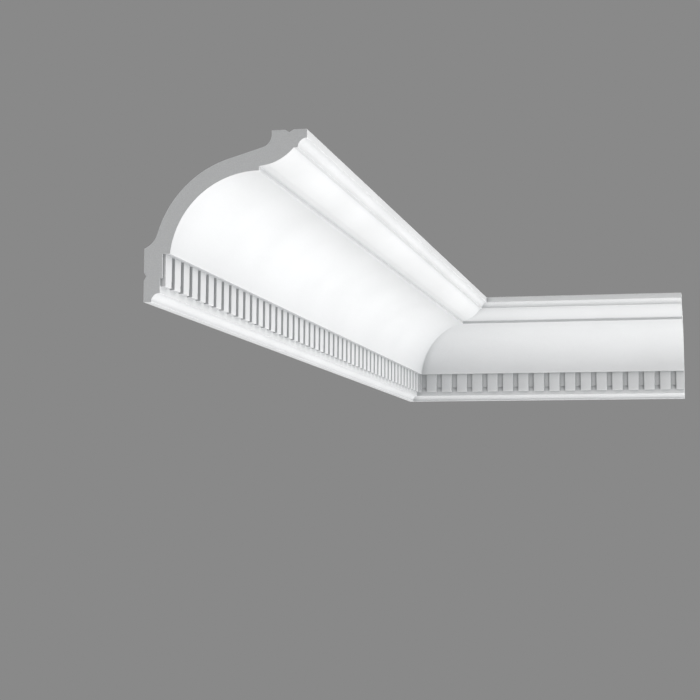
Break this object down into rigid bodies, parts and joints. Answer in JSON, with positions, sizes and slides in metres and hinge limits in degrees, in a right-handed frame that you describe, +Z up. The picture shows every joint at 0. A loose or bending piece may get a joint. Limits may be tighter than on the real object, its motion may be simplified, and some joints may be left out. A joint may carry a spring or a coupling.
{
  "type": "cornice moulding with inside corner",
  "caption": "Cove and dentil cornice moulding with a hollow back, mitred round an inside corner and cut square at both outer ends, to fix between wall and ceiling.",
  "frame": {"origin": "on the left length's wall face, halfway along the wall from the cut end to the corner, in the middle of the flat land below the glue groove", "axes": "+X out from the left wall into the room, +Y along the left wall towards the inside corner, +Z up to the ceiling"},
  "size_m": [0.355, 1.02, 0.12],
  "materials": {
    "primed_surface": "satin white primer on rigid polymer foam, with the plain grey core showing on the two square cut ends"
  },
  "bodies": {
    "root": {"left_length": "primed_surface", "right_length": "primed_surface"}
  },
  "joints": []
}
